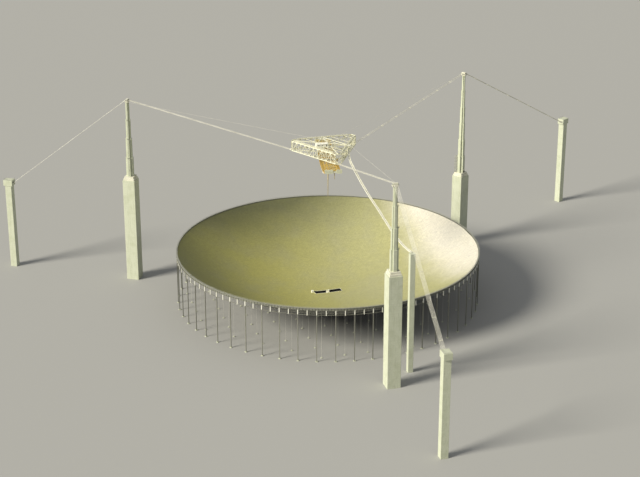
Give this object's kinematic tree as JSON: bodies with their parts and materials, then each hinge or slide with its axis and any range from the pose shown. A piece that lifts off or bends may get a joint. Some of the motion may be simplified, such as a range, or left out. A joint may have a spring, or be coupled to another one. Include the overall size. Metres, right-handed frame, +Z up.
{
  "type": "radio telescope with a fixed spherical dish, 1:20 scale model",
  "caption": "Fixed spherical dish on rim posts, with a triangular truss platform hung over it from three stepped concrete towers, and a turning bow-shaped feed arm with carriages.",
  "frame": {"origin": "on the dish's axis, at the middle of the centre pier's underside, on the floor", "axes": "+Z up; -Y from the axis towards the near tower; +X to the right as seen from the near tower"},
  "size_m": [32.9054, 27.8632, 9.8103],
  "materials": {
    "reflector_panels": "weathered perforated sheet, khaki to cream",
    "concrete": "pale weathered concrete",
    "white_steel": "white paint, dusty",
    "ochre_steel": "rust-toned primer, weathered",
    "grey_steel": "grey paint, dull",
    "cable_steel": "galvanised strand, dull",
    "feed_metal": "tan, satin"
  },
  "bodies": {
    "structure": {"dish_shell": "reflector_panels", "centre_pier": "concrete", "rim_arc_1": "grey_steel", "rim_arc_2": "grey_steel", "rim_arc_3": "grey_steel", "rim_arc_4": "grey_steel", "rim_arc_5": "grey_steel", "rim_arc_6": "grey_steel", "near_tower_footing": "concrete", "near_tower_shaft": "concrete", "near_tower_cap": "concrete", "near_main_cables": "cable_steel", "near_backstays": "cable_steel", "near_anchor_block": "concrete", "left_tower_footing": "concrete", "left_tower_shaft": "concrete", "left_tower_cap": "concrete", "left_main_cables": "cable_steel", "left_backstays": "cable_steel", "left_anchor_block": "concrete", "far_tower_footing": "concrete", "far_tower_shaft": "concrete", "far_tower_cap": "concrete", "far_tower_side_frame": "grey_steel", "far_main_cables": "cable_steel", "far_backstays": "cable_steel", "far_anchor_block": "concrete", "platform_near_right_side": "white_steel", "platform_back_side": "white_steel", "platform_near_left_side": "white_steel", "platform_near_corner": "white_steel", "platform_far_corner": "white_steel", "platform_left_corner": "white_steel", "platform_inner_frame": "white_steel", "platform_house": "white_steel", "platform_landing": "white_steel", "ring_track": "grey_steel", "near_service_cable": "cable_steel", "left_service_cable": "cable_steel", "far_service_cable": "cable_steel", "catwalk": "white_steel", "catwalk_landing_pier": "concrete"},
    "azimuth_arm": {"arm_left_truss": "ochre_steel", "arm_right_truss": "ochre_steel", "arm_top_bracing": "ochre_steel", "arm_lower_bracing": "ochre_steel", "arm_near_end": "white_steel", "arm_far_end": "white_steel"},
    "main_carriage": {"main_carriage_house": "white_steel", "line_feed": "feed_metal"},
    "second_carriage": {"second_carriage_house": "white_steel", "short_feed": "feed_metal"}
  },
  "joints": [
    {"name": "azimuth_turn", "type": "hinge", "parent": "structure", "child": "azimuth_arm", "pos_m": [0, 0, 7.7], "axis": [0, 0, -1], "range_deg": [-190, 530]},
    {"name": "main_carriage_travel", "type": "hinge", "parent": "azimuth_arm", "child": "main_carriage", "pos_m": [0, 0, 13.56186], "axis": [0.9848, -0.1736, 0], "range_deg": [0, 19.7]},
    {"name": "second_carriage_travel", "type": "hinge", "parent": "azimuth_arm", "child": "second_carriage", "pos_m": [0, 0, 13.56186], "axis": [0.9848, -0.1736, 0], "range_deg": [-15.4, 0]}
  ]
}
